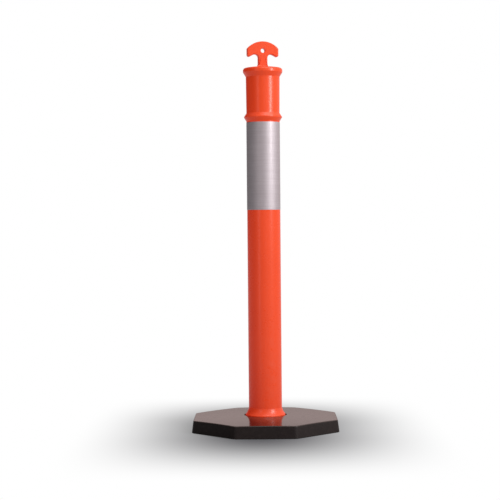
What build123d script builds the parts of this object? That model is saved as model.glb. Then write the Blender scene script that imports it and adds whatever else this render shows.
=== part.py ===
from build123d import *
from math import asin, cos, degrees, radians, sin, sqrt
import os

# A delineator post with a T-shaped lifting handle, standing in an octagonal rubber base.
# Millimetres, +Z up. The origin is on the ground, on the post's axis, and the base's flats
# lie square to X and Y.

# Overall sizes
OVERALL_HEIGHT = 1110.0  # ground to the top of the handle
BASE_ACROSS_FLATS = 417.0  # at the ground
TUBE_DIAMETER = 95.0
TUBE_WALL = 3.0

# Rubber base
BASE_SIDES = 8
BASE_RIM_HEIGHT = 35.5  # at the middle of each side
BASE_CROWN = 6.0  # how far the domed top would rise from the rim to the axis
BASE_DRAFT = 7.5  # degrees that the sides lean in
BASE_CORNER_RADIUS = 22.0
BASE_TOP_EDGE_RADIUS = 3.0
BASE_BOTTOM_EDGE_CHAMFER = 1.5
HOLE_EDGE_RADIUS = 1.5
HOLE_CLEARANCE = 3.5  # radial gap round the foot's lip
FLANGE_SIDE_CLEARANCE = 2.0
FLANGE_TOP_CLEARANCE = 0.5

# Foot
LIP_PROJECTION = 9.8  # beyond the tube's outside
LIP_RISE = 1.7  # above the rim of the base's hole
FLARE_HEIGHT = 19.5  # from the lip up to the end of the tube
FLARE_START_ANGLE = 11.0  # degrees off vertical where the flare leaves the tube's end
FLANGE_PROJECTION = 19.0  # beyond the lip
FLANGE_THICKNESS = 8.0
LIP_EDGE_RADIUS = 1.2
FLANGE_ROOT_RADIUS = 1.5
FLANGE_EDGE_RADIUS = 1.0
FOOT_WALL = 4.0
FOOT_SPIGOT_LENGTH = 90.0
SLIDE_CLEARANCE = 0.1  # radial, between a spigot and the tube it fills
SPIGOT_LEAD = 1.5  # chamfer on the end of each spigot

# Tube and reflective band
TUBE_EDGE_BREAK = 0.4
BAND_HEIGHT = 250.0
BAND_GAP = 2.5  # from the lower ring down to the band
BAND_THICKNESS = 0.4
BAND_LAP_WIDTH = 18.0
BAND_LAP_ANGLE = 140.0  # where the lap starts, counter-clockwise from +X

# Head, from the tube's end upwards
CAP_WALL = 3.0
CAP_SPIGOT_LENGTH = 60.0
LOWER_RING_PROJECTION = 7.5
LOWER_RING_UNDER = 12.5  # height of the slope under its crest
LOWER_RING_OVER = 11.5  # height of the slope over its crest
LOWER_RING_CREST_RADIUS = 3.0
BARREL_LENGTH = 103.5
BARREL_FLARE = 0.9  # how much the barrel's radius grows to its top
UPPER_RING_PROJECTION = 8.9
UPPER_RING_SLOPE = 13.0  # height of the slope under the ring
UPPER_RING_LAND = 4.0
UPPER_RING_LAND_RADIUS = 3.0
UPPER_RING_ROUND = 7.3
NECK_RADIUS = 1.5  # where a ring's slope runs into the barrel
DOME_RADIUS = 290.0
DOME_EDGE_INSET = 10.0  # from the upper ring's outside in to where the dome's curve ends

# T handle, in its own plane
HANDLE_TURN = 12.0  # degrees counter-clockwise, seen from above
HANDLE_HEIGHT = 71.5  # from the top of the dome
HANDLE_WIDTH = 90.5
HANDLE_THICKNESS = 18.0
HANDLE_TOP_RADIUS = 60.0
HANDLE_SHOULDER_RADIUS = 4.0
HANDLE_TIP_DROP = 47.2  # from the handle's top down to the corner of each tip
HANDLE_TIP_RADIUS = 5.0
HANDLE_UNDERCUT = 16.5  # how far the arms' undersides rise from the tips to the stem
HANDLE_SCOOP_RADIUS = 10.0
HANDLE_EDGE_RADIUS = 2.5
STEM_WIDTH = 26.2
STEM_FOOT_RADIUS = 3.0
EYE_DIAMETER = 13.0
EYE_DROP = 26.5  # from the handle's top down to the middle of the eye
EYE_EDGE_RADIUS = 1.0

# How near two sizes are when an edge is chosen by its radius or height
CLOSE = 0.01

# Radii and heights that follow from the sizes above
tube_radius = TUBE_DIAMETER / 2
tube_bore = tube_radius - TUBE_WALL
spigot_radius = tube_bore - SLIDE_CLEARANCE
lip_radius = tube_radius + LIP_PROJECTION
flange_radius = lip_radius + FLANGE_PROJECTION
hole_radius = lip_radius + HOLE_CLEARANCE

base_dome_radius = (BASE_ACROSS_FLATS**2 / 4 + BASE_CROWN**2) / (2 * BASE_CROWN)
base_corner_reach = BASE_ACROSS_FLATS / 2 / cos(radians(180 / BASE_SIDES))


def base_top(radius):
    """Height of the base's domed top at a distance from the axis."""
    apex = BASE_RIM_HEIGHT + BASE_CROWN
    return apex - base_dome_radius + sqrt(base_dome_radius**2 - radius**2)


lip_height = base_top(hole_radius) + LIP_RISE
tube_bottom = lip_height + FLARE_HEIGHT
dome_height = OVERALL_HEIGHT - HANDLE_HEIGHT

# The dome runs straight on at its edge, and that line meets the upper ring's land in a corner
upper_ring_radius = tube_radius + UPPER_RING_PROJECTION
lower_ring_radius = tube_radius + LOWER_RING_PROJECTION
dome_edge = upper_ring_radius - DOME_EDGE_INSET
dome_edge_drop = DOME_RADIUS - sqrt(DOME_RADIUS**2 - dome_edge**2)
dome_edge_slope = dome_edge / sqrt(DOME_RADIUS**2 - dome_edge**2)
shoulder_height = dome_height - dome_edge_drop - dome_edge_slope * (upper_ring_radius - dome_edge)
land_bottom = shoulder_height - UPPER_RING_ROUND - UPPER_RING_LAND
barrel_top = land_bottom - UPPER_RING_SLOPE
barrel_bottom = barrel_top - BARREL_LENGTH
lower_crest = barrel_bottom - LOWER_RING_OVER
tube_top = lower_crest - LOWER_RING_UNDER
barrel_top_radius = tube_radius + BARREL_FLARE

os.makedirs("parts", exist_ok=True)


def ring_edges(candidates, radius, height):
    """The circular edges about the post's axis with this radius, at this height."""
    circles = candidates.filter_by(GeomType.CIRCLE)
    same_radius = circles.filter_by(lambda e: abs(e.radius - radius) < CLOSE)
    return same_radius.filter_by(lambda e: abs(e.arc_center.Z - height) < CLOSE)


def near_the_sides(edge):
    """Whether an edge of the base is nearer to its sides than to its axis."""
    middle = edge.center()
    return sqrt(middle.X**2 + middle.Y**2) > BASE_ACROSS_FLATS / 4


# ---- Rubber base: a domed octagonal slab with a stepped hole for the foot ----
recess_radius = flange_radius + FLANGE_SIDE_CLEARANCE
recess_height = FLANGE_THICKNESS + FLANGE_TOP_CLEARANCE

with BuildPart() as rubber_base:
    with BuildSketch():
        RegularPolygon(radius=base_corner_reach, side_count=BASE_SIDES, rotation=180 / BASE_SIDES)
        fillet(vertices(), radius=BASE_CORNER_RADIUS)
    extrude(amount=BASE_RIM_HEIGHT + BASE_CROWN, taper=BASE_DRAFT)
    with BuildSketch(Plane.XZ):
        with BuildLine():
            reach = base_corner_reach + BASE_CORNER_RADIUS
            middle = (hole_radius + reach) / 2
            dome = ThreePointArc(
                (hole_radius, base_top(hole_radius)),
                (middle, base_top(middle)),
                (reach, base_top(reach)),
            )
            Polyline(
                dome @ 1,
                (reach, 0),
                (recess_radius, 0),
                (recess_radius, recess_height),
                (hole_radius, recess_height),
                dome @ 0,
            )
        make_face()
        hole_rim = vertices().group_by(Axis.X)[0].sort_by(Axis.Y)[-1]
        fillet(hole_rim, radius=HOLE_EDGE_RADIUS)
    revolve(axis=Axis.Z, mode=Mode.INTERSECT)
    top_edges = faces().filter_by(GeomType.SPHERE).edges()
    fillet(top_edges.filter_by(near_the_sides), radius=BASE_TOP_EDGE_RADIUS)
    bottom_edges = faces().sort_by(Axis.Z)[0].edges()
    chamfer(bottom_edges.filter_by(near_the_sides), length=BASE_BOTTOM_EDGE_CHAMFER)
rubber_base.part.label = "rubber_base"
export_step(rubber_base.part, "parts/rubber_base.step")


# ---- Foot: a flange under the base, a flared neck through its hole and a spigot in the tube ----
spigot_top = tube_bottom + FOOT_SPIGOT_LENGTH
neck_bore = lip_radius - FOOT_WALL
foot_spigot_bore = spigot_radius - FOOT_WALL

with BuildPart() as foot:
    with BuildSketch(Plane.XZ):
        with BuildLine():
            flare = TangentArc(
                (tube_radius, tube_bottom),
                (lip_radius, lip_height),
                tangent=(sin(radians(FLARE_START_ANGLE)), -cos(radians(FLARE_START_ANGLE))),
            )
            Polyline(
                flare @ 1,
                (lip_radius, FLANGE_THICKNESS),
                (flange_radius, FLANGE_THICKNESS),
                (flange_radius, 0),
                (neck_bore, 0),
                (neck_bore, lip_height - FOOT_WALL),
                (foot_spigot_bore, tube_bottom - FOOT_WALL),
                (foot_spigot_bore, spigot_top),
                (spigot_radius, spigot_top),
                (spigot_radius, tube_bottom),
                flare @ 0,
            )
        make_face()
    revolve(axis=Axis.Z)
    fillet(ring_edges(edges(), lip_radius, lip_height), radius=LIP_EDGE_RADIUS)
    fillet(ring_edges(edges(), lip_radius, FLANGE_THICKNESS), radius=FLANGE_ROOT_RADIUS)
    fillet(ring_edges(edges(), flange_radius, FLANGE_THICKNESS), radius=FLANGE_EDGE_RADIUS)
    chamfer(ring_edges(edges(), spigot_radius, spigot_top), length=SPIGOT_LEAD)
foot.part.label = "foot"
export_step(foot.part, "parts/foot.step")


# ---- Tube: plain, open at both ends, with its outer corners just broken ----
with BuildPart() as post_tube:
    with BuildSketch(Plane.XY.offset(tube_bottom)):
        Circle(tube_radius)
        Circle(tube_bore, mode=Mode.SUBTRACT)
    extrude(amount=tube_top - tube_bottom)
    chamfer(ring_edges(edges(), tube_radius, tube_bottom), length=TUBE_EDGE_BREAK)
    chamfer(ring_edges(edges(), tube_radius, tube_top), length=TUBE_EDGE_BREAK)
post_tube.part.label = "post_tube"
export_step(post_tube.part, "parts/post_tube.step")


# ---- Reflective band: one strip of sheeting wrapped round the tube, its end lapped over its start ----
band_bottom = tube_top - BAND_GAP - BAND_HEIGHT
band_radius = tube_radius + BAND_THICKNESS
lap_sweep = degrees(BAND_LAP_WIDTH / band_radius)

with BuildPart() as reflective_band:
    with BuildSketch(Plane.XY.offset(band_bottom)):
        Circle(band_radius)
        with BuildLine():
            lap = CenterArc((0, 0), band_radius + BAND_THICKNESS, BAND_LAP_ANGLE, lap_sweep)
            Polyline(lap @ 1, (0, 0), lap @ 0)
        make_face()
        Circle(tube_radius, mode=Mode.SUBTRACT)
    extrude(amount=BAND_HEIGHT)
reflective_band.part.label = "reflective_band"
export_step(reflective_band.part, "parts/reflective_band.step")


# ---- T handle: a flat plate with drooping arms, turned a little about the post's axis ----
turn = radians(HANDLE_TURN)
handle_plane = Plane(
    origin=(0, 0, 0),
    x_dir=(cos(turn), sin(turn), 0),
    z_dir=(sin(turn), -cos(turn), 0),
)
half_width = HANDLE_WIDTH / 2
half_stem = STEM_WIDTH / 2
tip_height = OVERALL_HEIGHT - HANDLE_TIP_DROP
stem_bottom = dome_height - CAP_WALL

with BuildPart() as t_handle:
    with BuildSketch(handle_plane):
        with BuildLine():
            top = JernArc(
                start=(0, OVERALL_HEIGHT),
                tangent=(1, 0),
                radius=HANDLE_TOP_RADIUS,
                arc_size=-degrees(asin(half_width / HANDLE_TOP_RADIUS)),
            )
            Polyline(
                top @ 1,
                (half_width, tip_height),
                (half_stem, tip_height + HANDLE_UNDERCUT),
                (half_stem, stem_bottom),
                (0, stem_bottom),
                top @ 0,
            )
        make_face()
        root = vertices().group_by(Axis.X)[1].sort_by(Axis.Y)[-1]
        fillet(root, radius=HANDLE_SCOOP_RADIUS)
        tip = vertices().group_by(Axis.X)[-1].sort_by(Axis.Y)[0]
        fillet(tip, radius=HANDLE_TIP_RADIUS)
        shoulder = vertices().group_by(Axis.X)[-1].sort_by(Axis.Y)[-1]
        fillet(shoulder, radius=HANDLE_SHOULDER_RADIUS)
        mirror(about=Plane.YZ)
    extrude(amount=HANDLE_THICKNESS / 2, both=True)
    plate_edges = faces().filter_by(handle_plane).edges()
    shown_edges = plate_edges.filter_by_position(Axis.Z, stem_bottom, OVERALL_HEIGHT, (False, True))
    fillet(shown_edges, radius=HANDLE_EDGE_RADIUS)
    with BuildSketch(handle_plane):
        with Locations((0, OVERALL_HEIGHT - EYE_DROP)):
            Circle(EYE_DIAMETER / 2)
    extrude(amount=HANDLE_THICKNESS / 2, both=True, mode=Mode.SUBTRACT)
    circles = edges().filter_by(GeomType.CIRCLE)
    eye_edges = circles.filter_by(lambda e: abs(e.radius - EYE_DIAMETER / 2) < CLOSE)
    fillet(eye_edges, radius=EYE_EDGE_RADIUS)


# ---- Head: dome, two rings, barrel and spigot in one hollow turned shape, with the T on top ----
cap_bore = spigot_radius - CAP_WALL
cap_bottom = tube_top - CAP_SPIGOT_LENGTH
dome_drop_over_bore = DOME_RADIUS - sqrt(DOME_RADIUS**2 - cap_bore**2)
cap_ceiling = dome_height - dome_drop_over_bore - CAP_WALL

with BuildPart() as t_top_cap:
    with BuildSketch(Plane.XZ):
        with BuildLine():
            dome_arc = JernArc(
                start=(0, dome_height),
                tangent=(1, 0),
                radius=DOME_RADIUS,
                arc_size=-degrees(asin(dome_edge / DOME_RADIUS)),
            )
            Polyline(
                dome_arc @ 1,
                (upper_ring_radius, shoulder_height),
                (upper_ring_radius, land_bottom),
                (barrel_top_radius, barrel_top),
                (tube_radius, barrel_bottom),
                (lower_ring_radius, lower_crest),
                (tube_radius, tube_top),
                (spigot_radius, tube_top),
                (spigot_radius, cap_bottom),
                (cap_bore, cap_bottom),
                (cap_bore, cap_ceiling),
                (0, cap_ceiling),
                dome_arc @ 0,
            )
        make_face()
    revolve(axis=Axis.Z)
    fillet(ring_edges(edges(), upper_ring_radius, shoulder_height), radius=UPPER_RING_ROUND)
    fillet(ring_edges(edges(), upper_ring_radius, land_bottom), radius=UPPER_RING_LAND_RADIUS)
    fillet(ring_edges(edges(), barrel_top_radius, barrel_top), radius=NECK_RADIUS)
    fillet(ring_edges(edges(), tube_radius, barrel_bottom), radius=NECK_RADIUS)
    fillet(ring_edges(edges(), lower_ring_radius, lower_crest), radius=LOWER_RING_CREST_RADIUS)
    chamfer(ring_edges(edges(), spigot_radius, cap_bottom), length=SPIGOT_LEAD)
    add(t_handle.part)
    fillet(edges(Select.NEW), radius=STEM_FOOT_RADIUS)
t_top_cap.part.label = "t_top_cap"
export_step(t_top_cap.part, "parts/t_top_cap.step")
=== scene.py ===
from math import asin, atan2, cos, pi, radians, sin, sqrt, tan

import bpy
import numpy as np
from mathutils import Matrix, Vector


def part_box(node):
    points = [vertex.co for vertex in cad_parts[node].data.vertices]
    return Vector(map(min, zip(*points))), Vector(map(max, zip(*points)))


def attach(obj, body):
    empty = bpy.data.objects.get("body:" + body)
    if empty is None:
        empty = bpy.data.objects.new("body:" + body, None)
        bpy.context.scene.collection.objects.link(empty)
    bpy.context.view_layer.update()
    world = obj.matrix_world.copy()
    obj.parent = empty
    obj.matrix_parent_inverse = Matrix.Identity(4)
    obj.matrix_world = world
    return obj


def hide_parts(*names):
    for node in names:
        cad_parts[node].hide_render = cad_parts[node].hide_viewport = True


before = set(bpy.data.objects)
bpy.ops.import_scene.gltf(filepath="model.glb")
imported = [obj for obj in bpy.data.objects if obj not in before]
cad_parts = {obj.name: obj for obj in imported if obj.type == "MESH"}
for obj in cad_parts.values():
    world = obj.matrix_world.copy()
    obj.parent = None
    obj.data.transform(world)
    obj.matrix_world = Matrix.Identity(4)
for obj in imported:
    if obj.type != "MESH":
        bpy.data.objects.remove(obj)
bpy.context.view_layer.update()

# A delineator post: a rubber base, a foot held in its hole, a tube, a band of reflective sheeting
# and a moulded head with a T handle. Metres, +Z up. Overall places come from the CAD boxes, and
# the sizes below are those of the mouldings themselves.
MM = 0.001

# Rubber base
BASE_SIDES = 8
HALF_SIDE = pi / BASE_SIDES  # the angle from a flat's middle to its corner
BASE_CROWN = 6 * MM
BASE_RIM = 35.5 * MM
BASE_DRAFT = radians(7.5)
BASE_CORNER = 22 * MM
BASE_TOP_EDGE = 3 * MM
BASE_BOTTOM_EDGE = 1.5 * MM
HOLE_RADIUS = 60.8 * MM
HOLE_EDGE = 1.5 * MM
HOLE_RIM = 6 * MM  # where the dome's own rows of points stop, out from the hole
RECESS_RADIUS = 78.3 * MM
RECESS_HEIGHT = 8.5 * MM

# Foot
LIP_RADIUS = 57.3 * MM
LIP_RISE = 1.7 * MM
LIP_EDGE = 1.2 * MM
FLARE_START = radians(11)  # how far from straight down the flare leaves the tube
FLANGE_THICKNESS = 8 * MM
FLANGE_ROOT = 1.5 * MM
FLANGE_EDGE = 1 * MM
FOOT_WALL = 4 * MM

# Tube, its plug-in ends and the band
TUBE_WALL = 3 * MM
TUBE_EDGE = 0.4 * MM
SLIDE_CLEARANCE = 0.1 * MM
SPIGOT_LEAD = 1.5 * MM
BAND_THICKNESS = 0.4 * MM
LAP_WIDTH = 18 * MM
LAP_ANGLE = radians(140)
LAP_STEP = 0.6 * MM  # over this much of the way round, the film climbs onto its own start

# Head
HEAD_WALL = 3 * MM
LOWER_RING_PROJECTION = 7.5 * MM
LOWER_RING_UNDER = 12.5 * MM
LOWER_RING_OVER = 11.5 * MM
LOWER_RING_CREST = 3 * MM
BARREL_LENGTH = 103.5 * MM
BARREL_FLARE = 0.9 * MM
UPPER_RING_SLOPE = 13 * MM
UPPER_RING_LAND = 4 * MM
UPPER_RING_CORNER = 3 * MM
UPPER_RING_ROUND = 7.3 * MM
NECK = 1.5 * MM  # the corner's radius where the barrel meets each ring
DOME_RADIUS = 290 * MM
DOME_EDGE_INSET = 10 * MM  # over this much, the dome runs straight on to the ring's rounded edge

# T handle
HANDLE_TURN = radians(12)
HANDLE_HEIGHT = 71.5 * MM
HANDLE_HALF_WIDTH = 45.25 * MM
HANDLE_HALF_THICKNESS = 9 * MM
HANDLE_TOP_RADIUS = 60 * MM
HANDLE_SHOULDER = 4 * MM  # the corner's radius where the top meets an arm's end
HANDLE_TIP_DROP = 47.2 * MM
HANDLE_TIP = 5 * MM  # the radius of an arm's lower corner
HANDLE_UNDERCUT = 16.5 * MM  # how far an arm's underside climbs from its tip to the stem
HANDLE_SCOOP = 10 * MM  # the corner's radius where it meets the stem
HANDLE_EDGE = 2.5 * MM
STEM_HALF_WIDTH = 13.1 * MM
STEM_FOOT = 3 * MM
EYE_RADIUS = 6.5 * MM
EYE_DROP = 26.5 * MM
EYE_EDGE = 1 * MM

# How finely the surfaces are divided
ROUND_STEPS = 288  # steps round a turned piece
ARC_STEP = radians(9)  # one step round a rounded corner
STRAIGHT = 1e-6  # a corner that turns less than this has nothing to round
SHARP_ANGLE = radians(32)  # an edge that turns more than this looks crisp
FLAT_POINTS, CORNER_POINTS = 45, 16  # along one side of the base and round its corner
UNDERSIDE_ROWS, SIDE_ROWS, TOP_EDGE_ROWS, TOP_ROWS = 7, 12, 11, 48
FLARE_POINTS = 17
DOME_POINTS = 14
EYE_ROWS, FACE_ROWS, HANDLE_EDGE_ROWS = 5, 15, 9

# Studio
FLOOR_RINGS = (0.2, 0.5, 1.0, 2.0, 5.0, 12.0, 40.0)
FLOOR_STEPS = 96
FLOOR_DROP = 0.2 * MM
PAINTED_SHADOW_MIDDLE = -0.012  # the painted shadow pool's middle, across, and how far it takes to fade each way
PAINTED_SHADOW_ACROSS = 0.54
PAINTED_SHADOW_ALONG = (0.16, 0.86)
PAINTED_SHADOW_SHORTER = 0.08  # by which it fades sooner behind the object
FLOOR_GLOW = 0.55  # what the white floor throws back, where the camera sees 1
SKY_DARK = 0.05
SKY_BEHIND = 0.80
SKY_RIGHT = 0.80
SKY_FRONT = 0.38
SKY_ABOVE = 0.5
LAMP_COLOUR = (1.0, 0.98, 0.97)
LAMP_AIM_HEIGHT = 0.55
CAMERA_SENSOR, CAMERA_LENS = 36.0, 106.9
CAMERA_PLACE = Vector((0.0, -4.2586, 0.606))
CAMERA_AIM = Vector((-0.0405, 0.0, 0.5139))
CAMERA_ROLL = radians(-0.5)


# ---------------------------------------------------------------- outlines


def rounded(corners, longest):
    """A line through the corners, as an (n, 2) array. Each corner is (across, up, radius), and the
    line goes round it in an arc of that radius, which starts and ends where it is tangent to the
    corner's two sides. Straight runs are divided into equal steps no longer than `longest`."""
    corners = np.array(corners, float)
    points, radii = corners[:, :2], corners[1:-1, 2]
    stretches = [points[:1]]
    for before, corner, after, radius in zip(points[:-2], points[1:-1], points[2:], radii):
        arrive = (corner - before) / np.linalg.norm(corner - before)
        leave = (after - corner) / np.linalg.norm(after - corner)
        cross = arrive[0] * leave[1] - arrive[1] * leave[0]
        turn = atan2(cross, arrive @ leave)
        if radius == 0 or abs(turn) < STRAIGHT:
            stretches.append(corner[None])
            continue
        reach = radius * tan(abs(turn) / 2)
        side = np.sign(turn)
        start = corner - arrive * reach
        centre = start + side * radius * np.array([-arrive[1], arrive[0]])
        steps = max(2, int(np.ceil(abs(turn) / ARC_STEP)))
        angle = np.linspace(0, turn, steps + 1)[:, None]
        spoke = start - centre
        swung = np.hstack([
            spoke[0] * np.cos(angle) - spoke[1] * np.sin(angle),
            spoke[0] * np.sin(angle) + spoke[1] * np.cos(angle),
        ])
        stretches.append(centre + swung)
    stretches.append(points[-1:])
    return divided(np.vstack(stretches), longest)


def divided(line, longest):
    """The same line with each long run cut into equal steps no longer than `longest`."""
    lengths = np.linalg.norm(np.diff(line, axis=0), axis=1)
    cuts = np.maximum(1, np.ceil(lengths / longest)).astype(int)
    starts = np.repeat(np.arange(len(cuts)), cuts)
    share = (np.arange(len(starts)) - np.repeat(np.cumsum(cuts) - cuts, cuts)) / cuts[starts]
    inner = line[starts] + (line[starts + 1] - line[starts]) * share[:, None]
    return np.vstack([inner, line[-1:]])


def arc(centre, radius, start, end):
    """Points on a circle's arc from one angle to another, both included."""
    steps = max(2, int(np.ceil(abs(end - start) / ARC_STEP)))
    angle = np.linspace(start, end, steps + 1)
    return np.column_stack([centre[0] + radius * np.cos(angle), centre[1] + radius * np.sin(angle)])


# ---------------------------------------------------------------- surfaces


def grid_faces(rows, columns, close_rows, close_columns):
    """Four-sided faces of a grid of rows x columns points, joined round either way if asked."""
    r = np.arange(rows if close_rows else rows - 1)
    c = np.arange(columns if close_columns else columns - 1)
    r, c = (a.ravel() for a in np.meshgrid(r, c, indexing="ij"))
    r2, c2 = (r + 1) % rows, (c + 1) % columns
    return np.column_stack([r * columns + c, r * columns + c2, r2 * columns + c2, r2 * columns + c])


def turned(profile, steps=ROUND_STEPS, reach=None):
    """A profile of (radius, height) points carried round the Z axis. Its point at angle a is
    (radius cos a, radius sin a, height), and the outer half of its points stand `reach(a)` further
    out where that is given. A profile that starts and ends on the axis gets one point at each pole,
    and any other profile is a closed loop. Returns points and faces."""
    angle = np.linspace(0, 2 * pi, steps, endpoint=False)
    poles = profile[0, 0] == 0 and profile[-1, 0] == 0
    body = profile[1:-1] if poles else profile
    radius = np.repeat(body[:, :1], steps, axis=1)
    if reach is not None:
        radius = radius + reach(angle)[None, :] * (radius > radius.mean())
    height = np.repeat(body[:, 1:], steps, axis=1)
    points = np.stack([radius * np.cos(angle), radius * np.sin(angle), height], axis=2).reshape(-1, 3)
    faces = grid_faces(len(body), steps, not poles, True)[:, ::-1]
    if not poles:
        return points, [faces]
    ring = np.arange(steps)
    first, last = len(points), len(points) + 1
    far = ring + (len(body) - 1) * steps
    top = np.column_stack([ring, np.roll(ring, -1), np.full(steps, first)])
    bottom = np.column_stack([np.roll(far, -1), far, np.full(steps, last)])
    points = np.vstack([points, [0, 0, profile[0, 1]], [0, 0, profile[-1, 1]]])
    return points, [faces, top, bottom]


def outward(points, faces):
    """The same faces, turned over if the closed surface they make encloses a negative volume."""
    volume = 0.0
    for part in faces:
        a, b, c = points[part[:, 0]], points[part[:, 1]], points[part[:, 2]]
        volume += np.einsum("ij,ij->i", a, np.cross(b, c)).sum()
        if part.shape[1] == 4:
            d = points[part[:, 3]]
            volume += np.einsum("ij,ij->i", a, np.cross(c, d)).sum()
    return faces if volume > 0 else [part[:, ::-1] for part in faces]


def piece(name, surfaces, body, node, material, layers=None):
    """One object made of closed surfaces, each (points, faces), riding on a body and standing for
    a CAD node. `layers` are numbers kept at each point for the material."""
    points, faces, count = [], [], 0
    for part_points, part_faces in surfaces:
        facing = outward(part_points, part_faces)
        faces += [face for part in facing for face in (part + count).tolist()]
        points.append(part_points)
        count += len(part_points)
    mesh = bpy.data.meshes.new(name)
    mesh.from_pydata(np.vstack(points), [], faces)
    mesh.polygons.foreach_set("use_smooth", np.ones(len(mesh.polygons), bool))
    mesh.set_sharp_from_angle(angle=SHARP_ANGLE)
    for layer, values in (layers or {}).items():
        attribute = mesh.attributes.new(layer, "FLOAT", "POINT")
        attribute.data.foreach_set("value", np.asarray(values, np.float32).ravel())
    mesh.materials.append(material)
    mesh.validate()
    obj = bpy.data.objects.new(name, mesh)
    bpy.context.scene.collection.objects.link(obj)
    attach(obj, body)
    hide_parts(node)


# ---------------------------------------------------------------- the mouldings' shapes


def base_dome(radius):
    """Height of the base's domed top at a distance from the axis: a sphere's cap."""
    return BASE_RIM + BASE_CROWN - base_sphere + np.sqrt(base_sphere**2 - radius**2)


def octagon(angle, inset):
    """Distance from the axis to an eight-sided outline with rounded corners, moved inwards by
    `inset`: along a flat it is the apothem over the cosine of the angle from that flat's middle,
    and round a corner it is the far crossing of the corner's circle."""
    from_flat = np.abs((angle + HALF_SIDE) % (2 * HALF_SIDE) - HALF_SIDE)
    from_corner = HALF_SIDE - from_flat
    apothem, corner = base_half_width - inset, BASE_CORNER - inset
    corner_middle = (base_half_width - BASE_CORNER) / cos(HALF_SIDE)
    across = corner_middle * np.sin(from_corner)
    bend = corner_middle * np.cos(from_corner) + np.sqrt(np.maximum(corner**2 - across**2, 0))
    straight_end = (base_half_width - BASE_CORNER) * tan(HALF_SIDE)
    return np.where(apothem * np.tan(from_flat) < straight_end, apothem / np.cos(from_flat), bend)


def rubber_base_surface():
    """The base: a section of (inset, height) points carried round the octagon. From the recess
    outwards it is the underside, a small chamfer, the drafted side, a rounded top edge that is
    tangent to the side and to the dome, the dome, the rounded rim of the hole and the hole itself.
    Also returns how much of the shiny top finish each point has."""
    straight = atan2((base_half_width - BASE_CORNER) * tan(HALF_SIDE), base_half_width)
    flat = np.linspace(-straight, straight, FLAT_POINTS)
    bend = np.linspace(straight, 2 * HALF_SIDE - straight, CORNER_POINTS)
    side = np.concatenate([flat[:-1], bend[:-1]])
    angle = (side[None, :] + 2 * HALF_SIDE * np.arange(BASE_SIDES)[:, None]).ravel()

    slope = tan(BASE_DRAFT)
    edge_inset = np.full_like(angle, BASE_RIM * slope)
    for _ in range(3):  # the side and the dome meet where each gives the other's height
        edge_height = base_dome(octagon(angle, edge_inset))
        edge_inset = edge_height * slope
    rim_radius = octagon(angle, edge_inset)
    side_tilt = pi / 2 - BASE_DRAFT
    top_tilt = np.arcsin(rim_radius / base_sphere)
    reach = BASE_TOP_EDGE * np.tan((side_tilt - top_tilt) / 2)
    start_inset = edge_inset - reach * cos(side_tilt)
    start_height = edge_height - reach * sin(side_tilt)
    centre_inset = start_inset + BASE_TOP_EDGE * sin(side_tilt)
    centre_height = start_height - BASE_TOP_EDGE * cos(side_tilt)

    rows = []  # each is (radius, height, shine) round the base
    outer = octagon(angle, BASE_BOTTOM_EDGE)
    for share in np.linspace(0, 1, UNDERSIDE_ROWS):
        rows.append((RECESS_RADIUS + (outer - RECESS_RADIUS) * share, 0 * angle, 0))
    lowest = BASE_BOTTOM_EDGE * cos(BASE_DRAFT)
    for share in np.linspace(0, 1, SIDE_ROWS):
        height = lowest + (start_height - lowest) * share
        rows.append((octagon(angle, height * slope), height, 0))
    for share in np.linspace(0, 1, TOP_EDGE_ROWS)[1:]:
        tilt = side_tilt + (top_tilt - side_tilt) * share
        inset = centre_inset - BASE_TOP_EDGE * np.sin(tilt)
        height = centre_height + BASE_TOP_EDGE * np.cos(tilt)
        rows.append((octagon(angle, inset), height, share))
    top_start = rows[-1][0]
    rim_start = HOLE_RADIUS + HOLE_RIM
    for share in np.linspace(0, 1, TOP_ROWS)[1:]:
        radius = top_start + (rim_start - top_start) * share
        rows.append((radius, base_dome(radius), 1))
    corners = [
        (rim_start, base_dome(rim_start), 0),
        (HOLE_RADIUS, base_dome(HOLE_RADIUS), HOLE_EDGE),
        (HOLE_RADIUS, RECESS_HEIGHT, 0),
        (RECESS_RADIUS, RECESS_HEIGHT, 0),
        (RECESS_RADIUS, 0, 0),
    ]
    for radius, height in rounded(corners, longest=5 * MM)[1:-1]:
        rows.append((radius + 0 * angle, height + 0 * angle, 1 if height > BASE_RIM else 0))
    radius = np.stack([row[0] for row in rows])
    height = np.stack([row[1] for row in rows])
    shine = np.stack([row[2] + 0 * angle for row in rows])
    points = np.stack([radius * np.cos(angle), radius * np.sin(angle), height], axis=2)
    return (points.reshape(-1, 3), [grid_faces(len(rows), len(angle), True, True)]), shine


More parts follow.
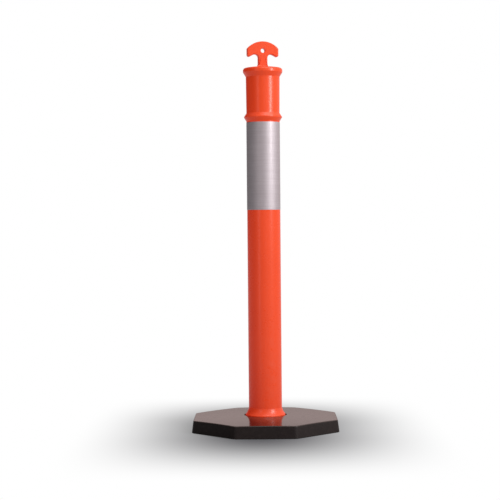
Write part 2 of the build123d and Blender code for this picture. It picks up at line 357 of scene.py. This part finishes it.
def foot_surface():
    """The foot: a closed profile turned round the axis. Its flange lies under the base, its neck
    stands in the base's hole and flares down from the tube along one arc, and its spigot fills the
    tube's lower end."""
    run = np.array([LIP_RADIUS - tube_radius, lip_height - tube_bottom])
    lean = np.array([cos(FLARE_START), sin(FLARE_START)])
    flare_radius = run @ run / (2 * lean @ run)
    centre = np.array([tube_radius, tube_bottom]) + flare_radius * lean
    first = atan2(tube_bottom - centre[1], tube_radius - centre[0]) % (2 * pi)
    last = atan2(lip_height - centre[1], LIP_RADIUS - centre[0]) % (2 * pi)
    swing = np.linspace(first, last, FLARE_POINTS)
    flare = centre + flare_radius * np.column_stack([np.cos(swing), np.sin(swing)])
    neck_bore = LIP_RADIUS - FOOT_WALL
    spigot_bore = spigot_radius - FOOT_WALL
    corners = [
        (spigot_radius, (tube_bottom + foot_top) / 2, 0),
        (spigot_radius, tube_bottom, 0),
        *((r, z, 0) for r, z in flare[:-1]),
        (LIP_RADIUS, lip_height, LIP_EDGE),
        (LIP_RADIUS, FLANGE_THICKNESS, FLANGE_ROOT),
        (flange_radius, FLANGE_THICKNESS, FLANGE_EDGE),
        (flange_radius, 0, 0),
        (neck_bore, 0, 0),
        (neck_bore, lip_height - FOOT_WALL, 0),
        (spigot_bore, tube_bottom - FOOT_WALL, 0),
        (spigot_bore, foot_top, 0),
        (spigot_radius - SPIGOT_LEAD, foot_top, 0),
        (spigot_radius, foot_top - SPIGOT_LEAD, 0),
        (spigot_radius, (tube_bottom + foot_top) / 2, 0),
    ]
    return turned(rounded(corners, longest=8 * MM)[:-1])


def tube_surface():
    """The tube: a thin rectangle turned round the axis, its outer corners just broken."""
    bore = tube_radius - TUBE_WALL
    corners = [
        (tube_radius, (tube_bottom + tube_top) / 2, 0),
        (tube_radius, tube_bottom + TUBE_EDGE, 0),
        (tube_radius - TUBE_EDGE, tube_bottom, 0),
        (bore, tube_bottom, 0),
        (bore, tube_top, 0),
        (tube_radius - TUBE_EDGE, tube_top, 0),
        (tube_radius, tube_top - TUBE_EDGE, 0),
        (tube_radius, (tube_bottom + tube_top) / 2, 0),
    ]
    return turned(rounded(corners, longest=20 * MM)[:-1])


def band_surface():
    """The band: a film's thin section turned round the tube. Over the lap the outside stands one
    more film's thickness out, climbing there over a few steps and ending in a square edge."""
    low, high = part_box("reflective_band")
    inner, outer = tube_radius, tube_radius + BAND_THICKNESS
    soft = BAND_THICKNESS / 4
    corners = [
        (outer, (low.z + high.z) / 2, 0),
        (outer, low.z, soft),
        (inner, low.z, 0),
        (inner, high.z, 0),
        (outer, high.z, soft),
        (outer, (low.z + high.z) / 2, 0),
    ]

    def lap(angle):
        along = (angle - LAP_ANGLE) % (2 * pi) * outer
        return BAND_THICKNESS * np.clip(along / LAP_STEP, 0, 1) * (along < LAP_WIDTH)

    return turned(rounded(corners, longest=12 * MM)[:-1], ROUND_STEPS * 2, lap)


def head_surface():
    """The head's turned part, as one profile from the dome's middle down its outside, up its
    bore and back to the axis: dome, upper ring, barrel, lower ring and spigot."""
    edge = upper_ring_radius - DOME_EDGE_INSET
    drop = DOME_RADIUS - sqrt(DOME_RADIUS**2 - edge**2)
    fall = edge / sqrt(DOME_RADIUS**2 - edge**2)
    shoulder = dome_top - drop - fall * DOME_EDGE_INSET
    land_bottom = shoulder - UPPER_RING_ROUND - UPPER_RING_LAND
    barrel_top = land_bottom - UPPER_RING_SLOPE
    barrel_bottom = barrel_top - BARREL_LENGTH
    crest = barrel_bottom - LOWER_RING_OVER
    bore = spigot_radius - HEAD_WALL
    ceiling = dome_top - DOME_RADIUS + sqrt(DOME_RADIUS**2 - bore**2) - HEAD_WALL
    swing = np.linspace(0, asin(edge / DOME_RADIUS), DOME_POINTS)
    dome = [(DOME_RADIUS * sin(s), dome_top - DOME_RADIUS * (1 - cos(s)), 0) for s in swing]
    corners = [
        *dome,
        (upper_ring_radius, shoulder, UPPER_RING_ROUND),
        (upper_ring_radius, land_bottom, UPPER_RING_CORNER),
        (tube_radius + BARREL_FLARE, barrel_top, NECK),
        (tube_radius, barrel_bottom, NECK),
        (tube_radius + LOWER_RING_PROJECTION, crest, LOWER_RING_CREST),
        (tube_radius, crest - LOWER_RING_UNDER, 0),
        (spigot_radius, crest - LOWER_RING_UNDER, 0),
        (spigot_radius, head_bottom + SPIGOT_LEAD, 0),
        (spigot_radius - SPIGOT_LEAD, head_bottom, 0),
        (bore, head_bottom, 0),
        (bore, ceiling, 0),
        (0, ceiling, 0),
    ]
    return turned(rounded(corners, longest=8 * MM))


def stem_flare(height):
    """How far the stem's foot stands out at a height: a quarter circle that runs into the dome."""
    over = np.clip(height - dome_top, 0, STEM_FOOT)
    return STEM_FOOT - np.sqrt(STEM_FOOT**2 - (STEM_FOOT - over) ** 2)


def handle_surface():
    """The T handle: a plate whose section is carried round its outline. The outline runs from the
    top's middle round one arm and down the stem, and is mirrored. At each of its points the section
    goes from the eye's edge out over the front face in a straight line, round the rounded edge, back
    over the rear face and through the eye, so the surface closes both ways round. The stem's foot
    widens in both directions where it sinks into the dome."""
    sweep = asin(HANDLE_HALF_WIDTH / HANDLE_TOP_RADIUS)
    middle = handle_top - HANDLE_TOP_RADIUS
    crown = arc((0, middle), HANDLE_TOP_RADIUS, pi / 2, pi / 2 - sweep)
    tip = handle_top - HANDLE_TIP_DROP
    sunk = dome_top - HEAD_WALL
    corners = [
        *((x, z, 0) for x, z in crown[:-1]),
        (*crown[-1], HANDLE_SHOULDER),
        (HANDLE_HALF_WIDTH, tip, HANDLE_TIP),
        (STEM_HALF_WIDTH, tip + HANDLE_UNDERCUT, HANDLE_SCOOP),
        (STEM_HALF_WIDTH, sunk, 0),
        (0, sunk, 0),
    ]
    half = rounded(corners, longest=1.2 * MM)
    length = np.concatenate([[0], np.cumsum(np.linalg.norm(np.diff(half, axis=0), axis=1))])
    look = pi / 2 - pi * length / length[-1]  # the way each point is seen from the eye
    outline = np.vstack([half, half[-2:0:-1] * (-1, 1)])
    look = np.concatenate([look, pi - look[-2:0:-1]])
    run = np.roll(outline, -1, axis=0) - np.roll(outline, 1, axis=0)
    run /= np.linalg.norm(run, axis=1)[:, None]
    out = np.column_stack([-run[:, 1], run[:, 0]])
    outline[:, 0] += np.sign(outline[:, 0]) * stem_flare(outline[:, 1])
    eye = np.array([0, handle_top - EYE_DROP])
    spoke = np.column_stack([np.cos(look), np.sin(look)])

    front = []  # rows of (place in the plate's plane, how far the section has dropped from its face)
    for turn in np.linspace(pi / 2, 0, EYE_ROWS):
        reach = EYE_RADIUS + EYE_EDGE * (1 - sin(turn))
        front.append((eye + spoke * reach, EYE_EDGE * (1 - cos(turn))))
    near = eye + spoke * (EYE_RADIUS + EYE_EDGE)
    far = outline - out * HANDLE_EDGE
    for share in np.linspace(0, 1, FACE_ROWS)[1:-1]:
        front.append((near + (far - near) * share, 0.0))
    for turn in np.linspace(0, pi / 2, HANDLE_EDGE_ROWS):
        front.append((outline - out * HANDLE_EDGE * (1 - sin(turn)), HANDLE_EDGE * (1 - cos(turn))))
    plane = np.stack([row[0] for row in front] + [row[0] for row in front[::-1]])
    drop = np.array([row[1] for row in front])
    thick = HANDLE_HALF_THICKNESS + stem_flare(plane[:, :, 1])
    side = np.concatenate([np.ones(len(front)), -np.ones(len(front))])
    depth = side[:, None] * (thick - np.concatenate([drop, drop[::-1]])[:, None])
    x = plane[:, :, 0] * cos(HANDLE_TURN) + depth * sin(HANDLE_TURN)
    y = plane[:, :, 0] * sin(HANDLE_TURN) - depth * cos(HANDLE_TURN)
    points = np.stack([x, y, plane[:, :, 1]], axis=2)
    return points.reshape(-1, 3), [grid_faces(2 * len(front), len(outline), True, True)]


# ---------------------------------------------------------------- finishes


class Number:
    """A number that changes over a surface: one output socket, with arithmetic as Math nodes."""

    def __init__(self, finish, socket):
        self.finish, self.socket = finish, socket

    def math(self, operation, *values):
        return self.finish.node("Math", {"operation": operation}, dict(enumerate(values)))

    def __add__(self, other):
        return self.math("ADD", self, other)

    def __radd__(self, other):
        return self.math("ADD", other, self)

    def __sub__(self, other):
        return self.math("SUBTRACT", self, other)

    def __rsub__(self, other):
        return self.math("SUBTRACT", other, self)

    def __mul__(self, other):
        return self.math("MULTIPLY", self, other)

    def __rmul__(self, other):
        return self.math("MULTIPLY", other, self)

    def __abs__(self):
        return self.math("ABSOLUTE", self)

    def rise(self, low, high):
        """0 below `low`, 1 above `high` and a smooth step between, or falling if low > high."""
        settings = {"interpolation_type": "SMOOTHSTEP", "clamp": True}
        if low < high:
            return self.finish.node("MapRange", settings, {0: self, 1: low, 2: high, 3: 0.0, 4: 1.0})
        return self.finish.node("MapRange", settings, {0: self, 1: high, 2: low, 3: 1.0, 4: 0.0})


class Finish:
    """A node tree with one method that makes any node."""

    def __init__(self, tree):
        self.tree = tree
        tree.nodes.clear()

    def node(self, kind, settings=None, sockets=None, out=0):
        """Makes a node of a type, gives it its settings, then fills its sockets, each by name or
        number with a value, a Number or a socket. Returns one of its outputs."""
        made = self.tree.nodes.new("ShaderNode" + kind)
        for setting, value in (settings or {}).items():
            setattr(made, setting, value)
        for key, value in (sockets or {}).items():
            socket = made.inputs[key]
            value = getattr(value, "socket", value)
            if isinstance(value, bpy.types.NodeSocket):
                self.tree.links.new(value, socket)
            else:
                socket.default_value = value
        return Number(self, made.outputs[out]) if made.outputs else made

    def place(self):
        """Where a point is on the object, in metres."""
        return self.node("TexCoord", out="Object")

    def split(self, place):
        """The three parts of a place."""
        made = self.node("SeparateXYZ", None, {0: place}).socket.node
        return [Number(self, made.outputs[i]) for i in range(3)]

    def stretched(self, place, scale, turn=(0, 0, 0)):
        """The place with each axis scaled, so that a pattern read there is finer or longer."""
        sockets = {"Vector": place, "Scale": scale, "Rotation": turn}
        return self.node("Mapping", {"vector_type": "POINT"}, sockets)

    def noise(self, place, scale, detail=2.0, roughness=0.5, distortion=0.0):
        sockets = {"Vector": place, "Scale": scale, "Detail": detail}
        return self.node("TexNoise", None, {**sockets, "Roughness": roughness, "Distortion": distortion})

    def cells(self, place, scale):
        """How far a place is from the nearest of many scattered points."""
        return self.node("TexVoronoi", None, {"Vector": place, "Scale": scale})

    def blend(self, share, first, second):
        """From the first colour to the second as share goes from 0 to 1."""
        settings = {"data_type": "RGBA", "clamp_factor": True}
        return self.node("Mix", settings, {0: share, 6: first, 7: second}, out=2)

    def bump(self, height, distance, strength, under=None):
        """A normal tilted by a height, on top of an earlier bump's normal where one is given."""
        sockets = {"Height": height, "Distance": distance, "Strength": strength}
        if under is not None:
            sockets["Normal"] = under
        return self.node("Bump", None, sockets)

    def show(self, shader):
        """Makes a shader the material's surface."""
        self.node("OutputMaterial", None, {"Surface": shader})


def finish(name):
    """A new, empty material and the Finish that fills it."""
    material = bpy.data.materials.new(name)
    material.use_nodes = True
    return material, Finish(material.node_tree)


def colour(red, green, blue):
    return (red, green, blue, 1.0)


def orange_plastic(name, dirt_top):
    """Satin safety-orange polyethylene: slightly uneven in colour, with a fine moulded skin, a few
    pale scuffs, and dust that thins out up to `dirt_top`. A weak, even red emission is painted in as
    a glow, so the red stays bright in shade the way the fluorescent pigment's does."""
    material, f = finish(name)
    place = f.place()
    z = f.split(place)[2]
    cloud = f.noise(place, 9.0, 3.0)
    speckle = f.noise(place, 900.0, 2.0)
    slanting = f.stretched(place, (140.0, 140.0, 9.0), (0.25, 0.1, 0.0))
    scratch_field = f.noise(slanting, 1.0, 3.0, 0.6, 0.6)
    scratch_zone = f.noise(place, 14.0, 2.0).rise(0.52, 0.68)
    scratches = scratch_field.rise(0.69, 0.74) * scratch_zone
    rub_zone = f.noise(place, 26.0, 4.0, 0.65).rise(0.60, 0.78)
    dust = f.noise(place, 60.0, 5.0, 0.7).rise(0.35, 0.75) * z.rise(dirt_top, dirt_top * 0.3)
    skin = f.blend(cloud, colour(0.46, 0.047, 0.006), colour(0.515, 0.057, 0.010))
    skin = f.blend(speckle.rise(0.55, 0.8) * 0.10, skin, colour(0.60, 0.10, 0.03))
    skin = f.blend(rub_zone * 0.10, skin, colour(0.62, 0.16, 0.08))
    skin = f.blend(scratches * 0.35, skin, colour(0.85, 0.30, 0.22))
    skin = f.blend(dust * 0.08, skin, colour(0.30, 0.16, 0.11))
    roughness = 0.245 + cloud * 0.05 + rub_zone * 0.12 + scratches * 0.18 + dust * 0.16
    peel = f.noise(place, 420.0, 1.0) * 0.6 + f.noise(place, 120.0, 1.0)
    normal = f.bump(peel, 0.05 * MM, 0.55)
    normal = f.bump(1 - scratches, 0.04 * MM, 0.5, normal)
    shader = f.node("BsdfPrincipled", None, {
        "Base Color": skin, "Roughness": roughness, "Normal": normal,
        "IOR": 1.5, "Specular IOR Level": 0.4,
        # painted glow: a weak, even red emission that keeps the red bright in shade
        "Emission Color": colour(1.0, 0.018, 0.008), "Emission Strength": 0.235,
    })
    f.show(shader)
    return material


def reflective_sheeting(name):
    """Silver retroreflective film: a metallic grey under a clear face, with its beads as a fine
    grain, faint lines drawn round it and small scuffs."""
    material, f = finish(name)
    place = f.place()
    beads = f.cells(place, 1400.0)
    cloud = f.noise(place, 20.0, 4.0, 0.6)
    lines = f.noise(f.stretched(place, (14.0, 14.0, 520.0)), 1.0, 2.0, 0.6)
    scuffs = f.noise(f.stretched(place, (60.0, 60.0, 260.0)), 1.0, 4.0, 0.7).rise(0.64, 0.74)
    grey = f.blend(cloud, colour(0.39, 0.372, 0.402), colour(0.47, 0.45, 0.482))
    grey = f.blend(lines.rise(0.35, 0.70) * 0.28, grey, colour(0.29, 0.265, 0.28))
    grey = f.blend(beads.rise(0.2, 0.6) * 0.15, grey, colour(0.62, 0.59, 0.60))
    grey = f.blend(scuffs * 0.25, grey, colour(0.26, 0.235, 0.235))
    roughness = 0.55 + lines * 0.08 + scuffs * 0.10
    normal = f.bump(beads, 0.03 * MM, 0.35)
    normal = f.bump(lines, 0.04 * MM, 0.35, normal)
    shader = f.node("BsdfPrincipled", None, {
        "Base Color": grey, "Roughness": roughness, "Normal": normal, "Metallic": 0.85,
        "Coat Weight": 0.25, "Coat Roughness": 0.15,
    })
    f.show(shader)
    return material


def moulded_rubber(name):
    """Black rubber, finely grained: a shiny top with faint ripples and dust, duller sides with
    small scuffs, and between them a rounded edge painted paler as a highlight, where it catches the
    light."""
    material, f = finish(name)
    place = f.place()
    shine = f.node("Attribute", {"attribute_name": "shine"}, out="Fac")
    cloud = f.noise(place, 11.0, 4.0, 0.6)
    grain = f.noise(place, 700.0, 3.0, 0.6)
    ripple = f.noise(place, 38.0, 2.0)
    dust = f.noise(place, 70.0, 5.0, 0.7).rise(0.42, 0.80)
    scuffs = f.noise(f.stretched(place, (50.0, 50.0, 320.0)), 1.0, 4.0, 0.7).rise(0.60, 0.72)
    # the rounded top edge, where a painted highlight goes
    edge = shine.rise(0.15, 0.5) * shine.rise(0.95, 0.55)
    black = f.blend(cloud, colour(0.006, 0.0045, 0.0045), colour(0.010, 0.008, 0.008))
    black = f.blend(grain.rise(0.5, 0.75) * 0.25, black, colour(0.030, 0.024, 0.022))
    black = f.blend(dust * 0.05, black, colour(0.12, 0.095, 0.085))
    black = f.blend(scuffs * (1 - shine) * 0.18, black, colour(0.09, 0.075, 0.07))
    # painted highlight: the rounded top edge lightened
    black = f.blend(edge * 0.25, black, colour(0.20, 0.17, 0.16))
    top_roughness = 0.09 + cloud * 0.06 + dust * 0.09
    side_roughness = 0.42 + cloud * 0.12 + scuffs * 0.10
    roughness = top_roughness * shine + side_roughness * (1 - shine)
    normal = f.bump(grain, 0.05 * MM, 0.25)
    normal = f.bump(ripple, 0.10 * MM, 0.30, normal)
    shader = f.node("BsdfPrincipled", None, {
        "Base Color": black, "Roughness": roughness, "Normal": normal,
        "IOR": 1.5, "Specular IOR Level": 0.22,
    })
    f.show(shader)
    return material


# ---------------------------------------------------------------- the pieces

base_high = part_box("rubber_base")[1]
foot_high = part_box("foot")[1]
tube_low, tube_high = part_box("post_tube")
head_low, head_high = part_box("t_top_cap")

# The base's sides are drafted from where its bottom edge would be without its small chamfer
base_half_width = base_high.x + BASE_BOTTOM_EDGE * cos(BASE_DRAFT) * tan(BASE_DRAFT)
base_sphere = (base_half_width**2 + BASE_CROWN**2) / (2 * BASE_CROWN)
tube_radius = tube_high.x
tube_bottom, tube_top = tube_low.z, tube_high.z
spigot_radius = tube_radius - TUBE_WALL - SLIDE_CLEARANCE
flange_radius, foot_top = foot_high.x, foot_high.z
lip_height = float(base_dome(HOLE_RADIUS)) + LIP_RISE
upper_ring_radius = head_high.x
head_bottom, handle_top = head_low.z, head_high.z
dome_top = handle_top - HANDLE_HEIGHT

rubber = moulded_rubber("moulded_rubber")
post_orange = orange_plastic("orange_plastic_post", 0.45)
head_orange = orange_plastic("orange_plastic_head", 0.10)
silver = reflective_sheeting("reflective_sheeting")

base_shape, base_shine = rubber_base_surface()
piece("rubber_base_moulding", [base_shape], "base", "rubber_base", rubber,
      {"shine": base_shine})
piece("foot_moulding", [foot_surface()], "foot", "foot", post_orange)
piece("post_tube_moulding", [tube_surface()], "post", "post_tube", post_orange)
piece("reflective_band_film", [band_surface()], "post", "reflective_band", silver)
piece("head_with_handle", [head_surface(), handle_surface()], "post", "t_top_cap",
      head_orange)


# ---------------------------------------------------------------- floor, light and camera


def pale_floor(name):
    """A painted shadow: a soft pool of dark matt grey round the object, which also takes the lamps'
    real shadows, and plain glowing white further off. The pool fades with the distance across times
    the distance along, and sooner behind the object."""
    material, f = finish(name)
    place = f.place()
    x, y, _ = f.split(place)
    across = abs(x - PAINTED_SHADOW_MIDDLE).rise(0.0, PAINTED_SHADOW_ACROSS)
    back = y.rise(-0.05, 0.05)
    along = (abs(y) + back * PAINTED_SHADOW_SHORTER).rise(*PAINTED_SHADOW_ALONG)
    # painted shadow: how much of the dark grey pool shows at each place
    shade = (1 - across) * (1 - along)
    mottle = f.noise(place, 5.0, 3.0)
    # the painted shadow's dark grey, lit by the lamps as well
    painted_shadow_grey = f.blend(mottle, colour(0.083, 0.094, 0.104), colour(0.094, 0.104, 0.115))
    matt = f.node("BsdfDiffuse", None, {"Color": painted_shadow_grey})
    seen = f.node("LightPath", out="Is Camera Ray")
    glow = FLOOR_GLOW + seen * (1 - FLOOR_GLOW)
    white = f.node("Emission", None, {"Color": colour(1, 1, 1), "Strength": glow})
    f.show(f.node("MixShader", None, {0: shade, 1: white, 2: matt}))
    return material


def floor():
    """One flat disc: a circle's points round its middle, in rings that grow with distance."""
    angle = np.linspace(0, 2 * pi, FLOOR_STEPS, endpoint=False)
    across, along = np.outer(FLOOR_RINGS, np.cos(angle)), np.outer(FLOOR_RINGS, np.sin(angle))
    points = np.stack([across, along, 0 * across], axis=2).reshape(-1, 3)
    ring = np.arange(FLOOR_STEPS)
    middle = np.column_stack([ring, np.roll(ring, -1), np.full(FLOOR_STEPS, len(points))])
    faces = grid_faces(len(FLOOR_RINGS), FLOOR_STEPS, False, True).tolist() + middle.tolist()
    mesh = bpy.data.meshes.new("floor")
    mesh.from_pydata(np.vstack([points, [0, 0, 0]]), [], faces)
    mesh.materials.append(pale_floor("pale_floor"))
    obj = bpy.data.objects.new("floor", mesh)
    obj.location.z = -FLOOR_DROP
    bpy.context.scene.collection.objects.link(obj)


def softbox(name, azimuth, elevation, distance, size, power, aim_height=LAMP_AIM_HEIGHT):
    """A soft rectangular lamp that faces the object's axis. Azimuth is degrees round from the
    camera's side to the right, and elevation is degrees above the height it is aimed at."""
    light = bpy.data.lights.new(name, "AREA")
    light.color = LAMP_COLOUR
    light.shape = "RECTANGLE"
    light.size, light.size_y = size
    light.energy = power
    obj = bpy.data.objects.new(name, light)
    turn, lift = radians(azimuth), radians(elevation)
    back = Vector((sin(turn) * cos(lift), -cos(turn) * cos(lift), sin(lift)))
    obj.location = Vector((0, 0, aim_height)) + back * distance
    obj.rotation_euler = back.to_track_quat("Z", "Y").to_euler()
    bpy.context.scene.collection.objects.link(obj)
    return obj


def surroundings():
    """A studio that lights the object brightly from behind and from its right, more weakly from
    above and in front, and hardly from its left or from below. The camera sees it as plain white."""
    world = bpy.data.worlds.new("studio")
    world.use_nodes = True
    bpy.context.scene.world = world
    f = Finish(world.node_tree)
    x, y, z = f.split(f.node("TexCoord", out="Generated"))
    behind = y.rise(0.80, 0.97) * (0.5 + z.rise(0.0, 0.25) * 0.5)
    right = x.rise(0.25, 0.65)
    front = y.rise(0.0, -0.35) * x.rise(-0.86, -0.70)
    above = z.rise(0.40, 0.95)
    level = SKY_DARK + behind * SKY_BEHIND + right * SKY_RIGHT + front * SKY_FRONT + above * SKY_ABOVE
    seen = f.node("LightPath", out="Is Camera Ray")
    tint = f.blend(seen, colour(1.0, 0.78, 0.75), colour(1, 1, 1))
    level = level * (1 - seen) + seen
    sky = f.node("Background", None, {"Color": tint, "Strength": level})
    f.node("OutputWorld", None, {"Surface": sky})


def camera():
    """A long lens a little above half the post's height, aimed slightly down and to its left."""
    data = bpy.data.cameras.new("camera")
    data.sensor_width = CAMERA_SENSOR
    data.lens = CAMERA_LENS
    obj = bpy.data.objects.new("camera", data)
    look = (CAMERA_AIM - CAMERA_PLACE).to_track_quat("-Z", "Y")
    roll = Matrix.Rotation(CAMERA_ROLL, 4, "Z")
    obj.matrix_world = Matrix.Translation(CAMERA_PLACE) @ look.to_matrix().to_4x4() @ roll
    bpy.context.scene.collection.objects.link(obj)
    bpy.context.scene.camera = obj


floor()
surroundings()
softbox("key", azimuth=54.5, elevation=18, distance=2.4, size=(0.60, 1.5), power=42, aim_height=0.85)
softbox("strip", azimuth=-34, elevation=12, distance=2.4, size=(0.3, 2.0), power=3)
softbox("overhead", azimuth=60, elevation=72, distance=2.6, size=(1.6, 1.6), power=25)
fill = softbox("fill", azimuth=15, elevation=12, distance=2.4, size=(0.8, 1.6), power=8)
fill.visible_glossy = False  # it lifts the front without a second highlight
camera()
bpy.context.scene.view_settings.view_transform = "Standard"
